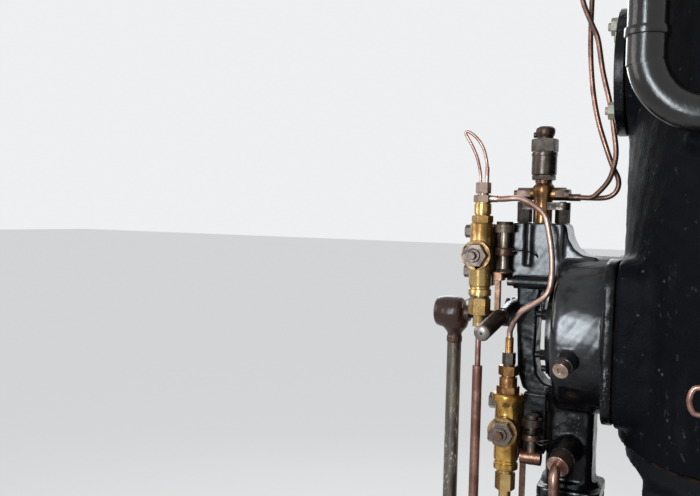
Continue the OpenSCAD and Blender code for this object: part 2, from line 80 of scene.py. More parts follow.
Colour = tuple[float, float, float]
TAU = 2 * math.pi
MM = 0.001


def linked(name: str, data: bpy.types.ID) -> Object:
    """A new object in the scene with this mesh, camera or light."""
    obj = bpy.data.objects.new(name, data)
    bpy.context.scene.collection.objects.link(obj)
    return obj


# Shader expressions


def operators(operation: str) -> tuple[Callable, Callable]:
    """The two methods of a Python operator, each of which adds one Math node.

    Args:
        operation: The Math node's operation.

    Returns:
        The method for self on the left, and the one for self on the right.
    """

    def left(self: Value, other: Any) -> Value:
        """The operation on self and the other."""
        return self.tree.math(operation, self, other)

    def right(self: Value, other: Any) -> Value:
        """The operation on the other and self."""
        return self.tree.math(operation, other, self)

    return left, right


@dataclass(eq=False)
class Value:
    """A socket that Python's operators work on, in the tree of nodes that it is part of."""

    tree: Tree
    socket: bpy.types.NodeSocket

    __add__, __radd__ = operators("ADD")
    __sub__, __rsub__ = operators("SUBTRACT")
    __mul__, __rmul__ = operators("MULTIPLY")

    def clipped(self) -> Value:
        """The value held between 0 and 1."""
        return self.tree.math("MINIMUM", self.tree.math("MAXIMUM", self, 0.0), 1.0)

    def rising(self, low: float, high: float) -> Value:
        """A smooth step.

        Args:
            low: Where the step starts.
            high: Where it ends; below low, the step falls.

        Returns:
            0 before low and 1 after high.
        """
        if high < low:
            return 1.0 - self.rising(high, low)
        settings = {"interpolation_type": "SMOOTHSTEP"}
        inputs = {"Value": self, "From Min": low, "From Max": high}
        return self.tree.value("ShaderNodeMapRange", settings, inputs)

    def to(self, low: float, high: float) -> Value:
        """The value, 0 to 1, stretched between two numbers."""
        return self * (high - low) + low


class Tree:
    """The nodes of one material or world, built from expressions."""

    def __init__(self, owner: bpy.types.ID) -> None:
        """Empties the owner's nodes.

        Args:
            owner: A new material or world.
        """
        self.owner = owner
        owner.use_nodes = True
        self.nodes = owner.node_tree.nodes
        self.links = owner.node_tree.links
        self.nodes.clear()
        self.where = self.value("ShaderNodeTexCoord", {}, {}, "Object")

    def node(self, kind: str, settings: dict, inputs: dict) -> bpy.types.Node:
        """Adds any node.

        Args:
            kind: The node's type.
            settings: Its properties, set before its sockets.
            inputs: Socket names or numbers, with a value or a Value to link.

        Returns:
            The node.
        """
        node = self.nodes.new(kind)
        for key, setting in settings.items():
            if key == "stops":
                ramp = node.color_ramp
                while len(ramp.elements) < len(setting):
                    ramp.elements.new(0.5)
                for element, (at, colour) in zip(ramp.elements, setting):
                    element.position = at
                    element.color = (*colour, 1.0)
            else:
                setattr(node, key, setting)
        for key, value in inputs.items():
            if isinstance(value, Value):
                self.links.new(value.socket, node.inputs[key])
            else:
                node.inputs[key].default_value = value
        return node

    def value(self, kind: str, settings: dict, inputs: dict, out: Any = 0) -> Value:
        """Adds a node and takes one of its outputs."""
        return Value(self, self.node(kind, settings, inputs).outputs[out])

    def math(self, operation: str, first: Any, second: Any) -> Value:
        """One Math node on two numbers or sockets."""
        return self.value("ShaderNodeMath", {"operation": operation}, {0: first, 1: second})

    def blend(self, first: Any, second: Any, share: Any) -> Value:
        """Two colours mixed.

        Args:
            first: Colour at share 0.
            second: Colour at share 1.
            share: The mask.

        Returns:
            The mixed colour.
        """
        pair = [(*c, 1.0) if isinstance(c, tuple) else c for c in (first, second)]
        inputs = {"Factor": share, 6: pair[0], 7: pair[1]}
        return self.value("ShaderNodeMix", {"data_type": "RGBA"}, inputs, 2)

    def placed(self, scale: Sequence[float] = (1, 1, 1), shift: float = 0.0) -> Value:
        """Object coordinates, stretched and shifted."""
        inputs = {"Vector": self.where, "Scale": scale, "Location": (shift, shift, shift)}
        return self.value("ShaderNodeMapping", {}, inputs)

    def cloud(
        self,
        size: float,
        detail: float = 4.0,
        rough: float = 0.55,
        stretch: Sequence[float] = (1, 1, 1),
        shift: float = 0.0,
    ) -> Value:
        """Fractal noise.

        Args:
            size: Size of its largest features, in metres.
            detail: Number of octaves.
            rough: Weight of the small octaves.
            stretch: Factor on the coordinates, below 1 to draw the pattern out.
            shift: Moves the pattern, to set two of them apart.

        Returns:
            Noise around 0.5.
        """
        inputs = {
            "Vector": self.placed(stretch, shift),
            "Scale": 1 / size,
            "Detail": detail,
            "Roughness": rough,
        }
        return self.value("ShaderNodeTexNoise", {}, inputs)

    def grains(self, size: float, shift: float = 0.0, jitter: float = 1.0) -> Value:
        """Distance to the nearest of scattered points, in units of their spacing."""
        inputs = {"Vector": self.placed((1, 1, 1), shift), "Scale": 1 / size}
        inputs["Randomness"] = jitter
        return self.value("ShaderNodeTexVoronoi", {}, inputs)

    def along(self, axis: str) -> Value:
        """One object coordinate."""
        return self.value("ShaderNodeSeparateXYZ", {}, {0: self.where}, "XYZ".index(axis))

    def upward(self) -> Value:
        """How far the surface faces up, from -1 to 1."""
        normal = self.value("ShaderNodeNewGeometry", {}, {}, "Normal")
        return self.value("ShaderNodeSeparateXYZ", {}, {0: normal}, 2)

    def nooks(self, reach: float) -> Value:
        """How sheltered the surface is, 1 in deep corners.

        Args:
            reach: Distance over which neighbours shelter it, in metres.

        Returns:
            The mask.
        """
        settings = {"samples": 6}
        inputs = {"Distance": reach}
        return 1.0 - self.value("ShaderNodeAmbientOcclusion", settings, inputs, "AO")

    def rims(self, radius: float) -> Value:
        """How near the surface is to a sharp edge, 1 at it.

        Args:
            radius: Width of the worn band, in metres.

        Returns:
            The mask.
        """
        soft = self.value("ShaderNodeBevel", {"samples": 4}, {"Radius": radius})
        hard = self.value("ShaderNodeNewGeometry", {}, {}, "Normal")
        settings = {"operation": "DOT_PRODUCT"}
        dot = self.value("ShaderNodeVectorMath", settings, {0: soft, 1: hard}, "Value")
        return (1.0 - dot).rising(0.015, 0.16)

    def relief(self, height: Value, depth: float, under: Value | None = None) -> Value:
        """A bumped normal.

        Args:
            height: Height, 0 to 1.
            depth: What 1 stands for, in metres.
            under: A normal to build on.

        Returns:
            The normal.
        """
        inputs = {"Height": height, "Distance": depth, "Strength": 1.0}
        if under is not None:
            inputs["Normal"] = under
        return self.value("ShaderNodeBump", {}, inputs)

    def surface(self, colour: Value, rough: Value, normal: Value, others: dict) -> None:
        """Ends the material in a Principled shader.

        Args:
            colour: Its base colour.
            rough: Its roughness, held between 0 and 1 here.
            normal: Its bumped normal.
            others: Its other inputs.
        """
        inputs = {"Base Color": colour, "Roughness": rough.clipped(), "Normal": normal, **others}
        shader = self.node("ShaderNodeBsdfPrincipled", {}, inputs)
        self.node("ShaderNodeOutputMaterial", {}, {0: Value(self, shader.outputs[0])})


# Finishes


@dataclass(frozen=True)
class Finish:
    """A surface finish that can be put on a piece."""

    name: str

    def paint(self, tree: Tree) -> None:
        """Builds the nodes; each finish has its own."""
        raise NotImplementedError

    def material(self) -> bpy.types.Material:
        """The material, made once."""
        full = "look_" + self.name
        found = bpy.data.materials.get(full)
        if found is None:
            found = bpy.data.materials.new(full)
            self.paint(Tree(found))
        return found


@dataclass(frozen=True)
class GlossCasting(Finish):
    """Thick glossy black paint over lumpy cast iron, with oil drops and brown dust."""

    colour: Colour = (0.003, 0.003, 0.0038)
    worn: Colour = (0.07, 0.06, 0.052)
    dust: Colour = (0.06, 0.047, 0.037)
    gloss: float = 0.19
    shine: float = 0.15
    lump: float = 0.0011
    lump_size: float = 0.034
    chips: float = 0.5
    drops: float = 1.6
    pore_size: float = 0.0055
    brush_width: float = 0.012
    patch_size: float = 0.06
    drop_size: float = 0.006
    wet_size: float = 0.05
    rim: float = 0.0022
    shelter: float = 0.03
    film_rough: float = 0.24
    # Bluish tint under the oil film: a painted cool sheen, standing in for the cold light that the
    # film reflects.
    film_sheen_tint: Sequence[float] = (0.9, 0.96, 1.0, 1.0)

    def paint(self, tree: Tree) -> None:
        """Lumps, pores and brush marks, chips at the rims, dust, wet drops and oil."""
        lumps = tree.cloud(self.lump_size, 2.0, 0.45)
        pores = tree.cloud(self.pore_size, 3.0, 0.6, shift=3.1)
        brush = tree.cloud(self.brush_width, 2.0, 0.5, (1.0, 1.0, 0.25), 7.7)
        patches = tree.cloud(self.patch_size, 5.0, 0.62, shift=11.0)
        chipped = tree.rims(self.rim) + patches.rising(0.66, 0.76) * 0.35
        chipped = (chipped * pores.rising(0.42, 0.6) * self.chips).clipped()
        dusty = tree.nooks(self.shelter).rising(0.25, 0.9) * patches.rising(0.35, 0.7) * 0.75
        ledges = tree.upward().rising(0.6, 0.95) * patches.rising(0.4, 0.75) * 0.5
        dusty = (dusty + ledges).clipped()
        colour = tree.blend(self.colour, self.worn, chipped)
        colour = tree.blend(colour, self.dust, dusty)
        rough = patches.rising(0.4, 0.7).to(self.gloss, self.gloss + 0.12)
        rough = rough + chipped * 0.25 + dusty * 0.35
        wet = tree.cloud(self.wet_size, 2.0, 0.5, shift=21.0).rising(0.52, 0.6)
        drops = tree.grains(self.drop_size, 4.0).rising(0.34, 0.12) * wet
        rough = rough - wet * 0.07
        oily = self.oiled(tree) * (1.0 - dusty) * patches.rising(0.75, 0.45)
        oily = oily + drops * min(self.drops, 0.9)
        normal = tree.relief(lumps, self.lump * 1.6)
        normal = tree.relief(brush * 0.5 + pores * 0.5 + drops * self.drops, 0.00045, normal)
        coat = {"Coat Weight": oily.clipped(), "Coat Roughness": self.film_rough}
        # The coat's bluish tint paints a cool sheen where the oil film lies.
        coat["Coat Tint"] = self.film_sheen_tint
        tree.surface(colour, rough, normal, {"Specular IOR Level": self.shine, **coat})

    def oiled(self, tree: Tree) -> Value:
        """Where a film of oil lies: nowhere on most pieces."""
        return tree.along("X") * 0.0


@dataclass(frozen=True)
class OiledCasting(GlossCasting):
    """The same paint with a film of oil on the side that is wiped by hand."""

    drum_x: float = -0.436
    fade_x: float = -0.3
    drum_z: float = 1.15
    block_z: float = 1.335

    def oiled(self, tree: Tree) -> Value:
        """On the upper block, on the neck's drum up to where it fades, in wet spots below."""
        x, z = tree.along("X"), tree.along("Z")
        block = z.rising(self.block_z, self.block_z + 0.02) * 0.65
        drum = x.rising(self.drum_x, self.drum_x + 0.008)
        drum = drum * z.rising(self.drum_z, self.drum_z + 0.07)
        low = z.rising(self.drum_z, self.drum_z - 0.03)
        spots = tree.cloud(0.03, 3.0, 0.6, shift=31.0).rising(0.53, 0.62) * 0.6
        film = (block + drum + low * spots).clipped()
        return film * x.rising(self.fade_x, self.fade_x - 0.07)


@dataclass(frozen=True)
class SpeckledPaint(Finish):
    """Dull charcoal paint with pale specks, runs and rubbed patches."""

    colour: Colour = (0.022, 0.024, 0.028)
    speck: Colour = (0.34, 0.35, 0.36)
    rubbed: Colour = (0.012, 0.0125, 0.015)
    rust: Colour = (0.1, 0.045, 0.02)
    roughness: float = 0.44
    specks: float = 0.5
    field_size: float = 0.22
    run_width: float = 0.03
    grit_size: float = 0.004
    small_speck: float = 0.03
    large_speck: float = 0.11
    rim: float = 0.004
    shelter: float = 0.05
    shine: float = 0.03

    def paint(self, tree: Tree) -> None:
        """Specks of two sizes, smudges, tall runs, rust at the rims and in the nooks."""
        wide = tree.cloud(self.field_size, 5.0, 0.6)
        runs = tree.cloud(self.run_width, 4.0, 0.6, (1.0, 1.0, 0.07), 4.2)
        fine = tree.cloud(self.grit_size, 3.0, 0.6, shift=9.0)
        small = tree.grains(self.small_speck, 2.0).rising(0.13, 0.03)
        small = small * wide.rising(0.45, 0.6) * 0.34
        smudge = tree.cloud(0.016, 3.0, 0.6, (1.0, 1.0, 0.7), 6.0).rising(0.62, 0.78) * 0.16
        large = tree.grains(self.large_speck, 6.0).rising(0.03, 0.012) * 0.5
        rubbed = (wide.rising(0.5, 0.72) * runs.rising(0.4, 0.65)).clipped()
        rusty = tree.rims(self.rim) * wide.rising(0.45, 0.6) * fine.rising(0.4, 0.6) * 0.6
        rusty = rusty + tree.nooks(self.shelter).rising(0.3, 0.9) * runs.rising(0.45, 0.6) * 0.5
        colour = tree.blend(self.colour, self.rubbed, rubbed * 0.8)
        colour = tree.blend(colour, self.rust, rusty.clipped())
        colour = tree.blend(colour, self.speck, ((small + smudge + large) * self.specks).clipped())
        rough = rubbed.to(self.roughness, self.roughness + 0.14) + rusty * 0.3
        normal = tree.relief(tree.cloud(0.045, 3.0, 0.5, shift=1.0), 0.0035)
        normal = tree.relief(fine, 0.0011, normal)
        tree.surface(colour, rough, normal, {"Specular IOR Level": self.shine})


@dataclass(frozen=True)
class AgedMetal(Finish):
    """Bare metal that has darkened unevenly, with grime and painted shade in the corners, and
    bright rims.
    """

    bright: Colour = (0.7, 0.53, 0.24)
    aged: Colour = (0.3, 0.19, 0.07)
    # Dark tone for grime in the pits, and for grime with painted shade in the sheltered corners.
    dirt_and_shade_tone: Colour = (0.05, 0.035, 0.02)
    smooth: float = 0.22
    dull: float = 0.48
    ageing: float = 0.5
    patch: float = 0.016
    grain: float = 0.0001
    turned: Sequence[float] = (1.0, 1.0, 1.0)
    pits: float = 0.3
    metallic: float = 0.92
    line_width: float = 0.0018
    rim: float = 0.0012
    shelter: float = 0.022

    def tones(self, tree: Tree) -> tuple[Any, Any]:
        """The bright and the aged colour."""
        return self.bright, self.aged

    def paint(self, tree: Tree) -> None:
        """Patches of ageing, fine grain along the turning, pits, grime with painted shade in the
        corners, and rims.
        """
        patches = tree.cloud(self.patch, 5.0, 0.6, shift=5.0) * 0.6
        patches = patches + tree.cloud(self.patch * 3, 2.0, 0.5, shift=9.0) * 0.4
        spots = tree.cloud(self.patch * 0.22, 3.0, 0.6, shift=8.0)
        lines = tree.cloud(self.line_width, 2.0, 0.5, self.turned, 2.0)
        half = 0.5 + (0.5 - self.ageing) * 0.3
        corners = tree.nooks(self.shelter)
        aged = patches.rising(half - 0.11, half + 0.11) + spots.rising(0.6, 0.72) * 0.25
        aged = (aged + corners.rising(0.35, 0.9) * 0.7).clipped()
        # Painted shade: the sheltered corners found by occlusion take the dark tone, as grime and
        # as the shade that falls there, and also turn rougher and less metallic.
        dirt_and_shade = corners.rising(0.5, 0.95) * patches.rising(0.3, 0.55)
        pitted = spots.rising(0.68, 0.76) * self.pits
        bright = tree.rims(self.rim) * 0.6 * (1.0 - dirt_and_shade)
        light, dark = self.tones(tree)
        colour = tree.blend(light, dark, aged)
        colour = tree.blend(colour, light, bright)
        # Painted shade and grime darken the corners, and grime darkens the pits.
        colour = tree.blend(colour, self.dirt_and_shade_tone, (dirt_and_shade * 0.85 + pitted).clipped())
        rough = aged.to(self.smooth, self.dull) + lines.rising(0.3, 0.7) * 0.08 + dirt_and_shade * 0.25
        normal = tree.relief(lines * 0.5 + spots * 0.8, self.grain)
        metal = (self.metallic - dirt_and_shade * 0.6 - pitted * 0.4).clipped()
        tree.surface(colour, rough, normal, {"Metallic": metal})


@dataclass(frozen=True)
class BrownedSteel(AgedMetal):
    """Aged steel whose lower end is brown with old oil."""

    brown: Colour = (0.16, 0.085, 0.055)
    below: float = 1.0

    def tones(self, tree: Tree) -> tuple[Any, Any]:
        """Both tones turn brown below a height."""
        low = tree.along("Z").rising(self.below + 0.004, self.below - 0.004)
        dark = tuple(c * 0.35 for c in self.brown)
        return tree.blend(self.bright, self.brown, low), tree.blend(self.aged, dark, low)


@dataclass(frozen=True)
class FlakedRod(Finish):
    """A grey steel rod with what is left of its golden paint, drawn out along it."""

    steel: Colour = (0.125, 0.112, 0.098)
    gold: Colour = (0.15, 0.1, 0.052)
    pale: Colour = (0.4, 0.38, 0.29)
    brown: Colour = (0.055, 0.034, 0.024)
    flake_width: float = 0.02
    fleck_size: float = 0.0045
    scratched_z: float = 1.0
    brown_z: float = 1.2

    def paint(self, tree: Tree) -> None:
        """Long flakes of paint, pale scratches lower down, brown towards the eye."""
        flakes = tree.cloud(self.flake_width, 5.0, 0.65, (1.0, 1.0, 0.22), 3.0)
        flecks = tree.cloud(self.fleck_size, 3.0, 0.6, (1.0, 1.0, 0.4), 6.0)
        height = tree.along("Z")
        gold = flakes.rising(0.5, 0.56) * flecks.rising(0.3, 0.55)
        low = height.rising(self.scratched_z + 0.13, self.scratched_z)
        pale = flecks.rising(0.55, 0.63) * flakes.rising(0.42, 0.56) * low
        brown = height.rising(self.brown_z - 0.08, self.brown_z) * 0.6
        brown = (brown + flakes.rising(0.5, 0.35) * 0.5).clipped()
        colour = tree.blend(self.steel, self.gold, gold * 0.8)
        colour = tree.blend(colour, self.brown, brown * flecks.rising(0.25, 0.6))
        colour = tree.blend(colour, self.pale, pale.clipped())
        rough = gold.to(0.4, 0.54) + pale * 0.15
        metal = (0.85 - gold * 0.6 - pale * 0.6).clipped()
        normal = tree.relief(gold * 0.5 + flecks * 0.4, 0.0005)
        tree.surface(colour, rough, normal, {"Metallic": metal})


BLACK = GlossCasting("black_paint")
CHEST_BLACK = OiledCasting("chest_black")
BLACK_SMALL = GlossCasting("black_small", lump=0.0005, lump_size=0.018, chips=0.8)
BROWN = GlossCasting(
    "brown_iron", colour=(0.031, 0.0125, 0.008), worn=(0.1, 0.055, 0.036),
    dust=(0.035, 0.023, 0.016), gloss=0.27, shine=0.32, drops=0.0, lump=0.0003, lump_size=0.012,
    chips=0.12,
)
CHARCOAL = SpeckledPaint("charcoal_paint", colour=(0.0028, 0.003, 0.0042))
FRAME = SpeckledPaint("frame_paint", colour=(0.0075, 0.0078, 0.0092), roughness=0.5, specks=0.12)
BRASS = AgedMetal(
    "brass", bright=(0.56, 0.38, 0.155), aged=(0.21, 0.112, 0.036), smooth=0.18, dull=0.32,
    patch=0.035,
)
COPPERY_BRASS = AgedMetal(
    "coppery_brass", bright=(0.52, 0.29, 0.12), aged=(0.17, 0.075, 0.028), smooth=0.13,
    dull=0.3, ageing=0.6, patch=0.014,
)
DARK_BRASS = AgedMetal(
    "dark_brass", bright=(0.66, 0.42, 0.12), aged=(0.25, 0.12, 0.026), smooth=0.14, dull=0.32,
    patch=0.03,
)
BRONZE = AgedMetal(
    "bronze", bright=(0.26, 0.14, 0.055), aged=(0.075, 0.037, 0.02), smooth=0.15, dull=0.3,
    patch=0.03,
)
STEEL = AgedMetal(
    "steel", bright=(0.2, 0.172, 0.152), aged=(0.065, 0.05, 0.042), dirt_and_shade_tone=(0.016, 0.011, 0.009),
    smooth=0.16, dull=0.28, patch=0.03,
)
PINK_STEEL = AgedMetal(
    "pinkish_steel", bright=(0.42, 0.31, 0.25), aged=(0.17, 0.115, 0.088),
    dirt_and_shade_tone=(0.03, 0.018, 0.013), smooth=0.16, dull=0.3, patch=0.02,
)
DARK_STEEL = AgedMetal(
    "dark_steel", bright=(0.085, 0.07, 0.062), aged=(0.025, 0.019, 0.016),
    dirt_and_shade_tone=(0.009, 0.007, 0.006), ageing=0.55, dull=0.4,
)
UNION = AgedMetal(
    "union_steel", bright=(0.085, 0.056, 0.042), aged=(0.034, 0.021, 0.016),
    dirt_and_shade_tone=(0.012, 0.008, 0.006), smooth=0.28, dull=0.4, patch=0.02, grain=0.00009,
)
GLAND = AgedMetal(
    "gland_steel", bright=(0.145, 0.113, 0.095), aged=(0.05, 0.038, 0.031), smooth=0.2,
    dull=0.36, patch=0.03, grain=0.00009,
)
BROWN_STEEL = AgedMetal(
    "brown_steel", bright=(0.16, 0.095, 0.065), aged=(0.05, 0.03, 0.022),
    dirt_and_shade_tone=(0.018, 0.011, 0.008), smooth=0.25,
)
RUSTY = AgedMetal(
    "rusty_steel", bright=(0.1, 0.04, 0.02), aged=(0.05, 0.02, 0.011), dirt_and_shade_tone=(0.02, 0.01, 0.006),
    smooth=0.3, metallic=0.5,
)
PLATED = AgedMetal(
    "plated_steel", bright=(0.21, 0.185, 0.17), aged=(0.1, 0.082, 0.072),
    dirt_and_shade_tone=(0.04, 0.03, 0.026), ageing=0.45, smooth=0.32, dull=0.44, grain=0.00012,
)
GLAND_BRASS = AgedMetal(
    "gland_brass", bright=(0.27, 0.175, 0.08), aged=(0.11, 0.06, 0.024), ageing=0.55, dull=0.38,
    patch=0.02,
)
DRAIN_NUT = AgedMetal(
    "drain_nut", bright=(0.5, 0.32, 0.26), aged=(0.19, 0.105, 0.08), dirt_and_shade_tone=(0.03, 0.02, 0.016),
    smooth=0.16, dull=0.34, patch=0.02,
)
GRIP = AgedMetal(
    "browned_grip", bright=(0.11, 0.078, 0.062), aged=(0.045, 0.03, 0.023),
    dirt_and_shade_tone=(0.01, 0.007, 0.006), ageing=0.45, smooth=0.32, dull=0.42, grain=0.00012,
    turned=(1.0, 0.15, 1.0),
)
SPINDLE = BrownedSteel(
    "spindle_steel", bright=(0.24, 0.2, 0.155), aged=(0.085, 0.064, 0.048), smooth=0.26,
    dull=0.45, below=1.3695,
)
LOW_SPINDLE = BrownedSteel(
    "low_spindle_steel", bright=(0.14, 0.112, 0.09), aged=(0.048, 0.036, 0.028), smooth=0.26,
    dull=0.45, below=1.004,
)
COPPER = AgedMetal(
    "copper", bright=(0.46, 0.31, 0.26), aged=(0.24, 0.135, 0.105), dirt_and_shade_tone=(0.08, 0.05, 0.04),
    ageing=0.4, patch=0.03, smooth=0.26, dull=0.45,
)
SUCTION = AgedMetal(
    "suction_copper", bright=(0.33, 0.19, 0.155), aged=(0.15, 0.074, 0.058),
    dirt_and_shade_tone=(0.05, 0.03, 0.024), patch=0.04,
)
BLAST = AgedMetal(
    "blast_copper", bright=(0.25, 0.142, 0.108), aged=(0.092, 0.052, 0.04),
    dirt_and_shade_tone=(0.02, 0.014, 0.012), patch=0.05,
)
COPPER_DARK = AgedMetal(
    "drain_copper", bright=(0.34, 0.2, 0.155), aged=(0.14, 0.075, 0.054),
    dirt_and_shade_tone=(0.04, 0.026, 0.02),
)
POLISHED = GlossCasting(
    "polished_pipe", colour=(0.0055, 0.0045, 0.0042), worn=(0.11, 0.085, 0.07),
    dust=(0.035, 0.026, 0.021), shine=0.5, lump=0.00022, lump_size=0.02, chips=0.25, drops=0.0,
)
CREAM = GlossCasting(
    "cream_bolt", colour=(0.27, 0.235, 0.18), worn=(0.12, 0.1, 0.08), dust=(0.14, 0.11, 0.08),
    gloss=0.35, shine=0.5, lump=0.0002, lump_size=0.01,
)
ROD = FlakedRod("worn_rod")


# Shapes


FAR = 99.0


@dataclass(frozen=True)
class Patch:
    """A box, in metres, inside which a piece's faces take another finish."""

    finish: Finish
    low: Sequence[float] = (-FAR, -FAR, -FAR)
    high: Sequence[float] = (FAR, FAR, FAR)


def below(finish: Finish, axis: str, limit: float) -> Patch:
    """The part of a piece below a limit on one axis, with another finish."""
    return Patch(finish, high=[limit if name == axis else FAR for name in "XYZ"])


def above(finish: Finish, axis: str, limit: float) -> Patch:
    """The part of a piece above a limit on one axis, with another finish."""
    return Patch(finish, low=[limit if name == axis else -FAR for name in "XYZ"])


def patch(obj: Object, patches: Sequence[Patch]) -> None:
    """Gives the faces whose centres lie in a patch's box that patch's finish.

    Args:
        obj: The piece, which already has its main finish.
        patches: The patches, the later over the earlier.
    """
    centres = np.empty(len(obj.data.polygons) * 3, np.float32)
    obj.data.polygons.foreach_get("center", centres)
    centres = centres.reshape(-1, 3)
    index = np.zeros(len(centres), np.int32)
    for number, one in enumerate(patches, 1):
        obj.data.materials.append(one.finish.material())
        inside = np.all((centres > np.array(one.low)) & (centres < np.array(one.high)), axis=1)
        index[inside] = number
    obj.data.polygons.foreach_set("material_index", index)


class Edge(enum.Enum):
    """How a copied node's edges are finished."""

    CRISP = 0.0005
    MACHINED = 0.0011
    CAST = 0.0035


@dataclass(frozen=True)
class Skin:
    """How a casting's skin is made.

    Its cells and the height of its lumps are in metres, and passes are rounds of smoothing.
    """

    cell: float
    passes: int
    lumps: float


SHARP = math.radians(32)
WELD = 0.00002


def smooth_by_angle(obj: Object) -> None:
    """Shades smooth, with edges sharper than SHARP kept sharp."""
    obj.data.polygons.foreach_set("use_smooth", [True] * len(obj.data.polygons))
    obj.data.set_sharp_from_angle(angle=SHARP)


def add_to(obj: Object, body: str, slot: str, *nodes: str) -> Object:
    """Attaches a piece to its body and hides the nodes that it replaces."""
    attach(obj, body)
    if nodes:
        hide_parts(*nodes)
    log.info("piece %s: %d faces on %s", obj.name, len(obj.data.polygons), body)
    return obj


def grid_quads(rows: int, sides: int) -> Array:
    """The quads between rows of points, each row closed round.

    Args:
        rows: Number of rows.
        sides: Points in a row.

    Returns:
        The quads, as four numbers of points each.
    """
    base = np.arange(rows - 1)[:, None] * sides
    near = base + np.arange(sides)
    far = base + (np.arange(sides) + 1) % sides
    return np.stack([near, near + sides, far + sides, far], -1).reshape(-1, 4)


def tube_grid(path: Array, radii: Array, sides: int, up: Array) -> tuple[Array, Array]:
    """A closed tube along a path: P(s, t) = C(s) + r(s) (cos t U(s) + sin t V(s)).

    U is the path's direction crossed with a fixed vector, V the direction crossed with U.

    Args:
        path: Points of the path, m by 3.
        radii: Radius at each point.
        sides: Points round the tube.
        up: A vector that is nowhere along the path.

    Returns:
        Points and quads; both ends are closed by a fan to the path's end.
    """
    way = np.gradient(path, axis=0)
    way /= np.linalg.norm(way, axis=1)[:, None]
    side = np.cross(way, np.asarray(up, float))
    side /= np.linalg.norm(side, axis=1)[:, None]
    other = np.cross(way, side)
    turn = np.linspace(0, TAU, sides, endpoint=False)
    ring = side[:, None] * np.cos(turn)[None, :, None]
    ring = ring + other[:, None] * np.sin(turn)[None, :, None]
    points = path[:, None] + ring * np.asarray(radii)[:, None, None]
    rows = len(path)
    verts = np.vstack([points.reshape(-1, 3), path[:1], path[-1:]])
    k = np.arange(sides)
    j = (k + 1) % sides
    last = (rows - 1) * sides
    fan0 = np.stack([k, j, np.full(sides, rows * sides)], -1)
    fan1 = np.stack([last + j, last + k, np.full(sides, rows * sides + 1)], -1)
    return verts, grid_quads(rows, sides).tolist() + fan0.tolist() + fan1.tolist()


def eased(points: Sequence[Sequence[float]], steps: int) -> Array:
    """A smooth curve through points: the cubic with Catmull-Rom tangents on each stretch.

    Args:
        points: The points, in millimetres.
        steps: Points on each stretch.

    Returns:
        The curve, in metres.
    """
    p = np.asarray(points, float) * MM
    q = np.vstack([2 * p[0] - p[1], p, 2 * p[-1] - p[-2]])
    t = np.linspace(0, 1, steps, endpoint=False)[:, None, None]
    a, b, c, d = (q[i : len(q) - 3 + i][None] for i in range(4))
    curve = b + 0.5 * t * (c - a + t * (2 * a - 5 * b + 4 * c - d + t * (3 * (b - c) + d - a)))
    return np.vstack([curve.transpose(1, 0, 2).reshape(-1, 3), p[-1:]])


def object_from(name: str, verts: Array, faces: list, finish: Finish) -> Object:
    """A mesh of mixed quads and triangles, shaded smooth."""
    mesh = bpy.data.meshes.new(name)
    mesh.from_pydata(verts.tolist(), [], faces)
    mesh.materials.append(finish.material())
    work = bmesh.new()
    work.from_mesh(mesh)
    bmesh.ops.recalc_face_normals(work, faces=work.faces)
    work.to_mesh(mesh)
    work.free()
    obj = linked(name, mesh)
    smooth_by_angle(obj)
    return obj


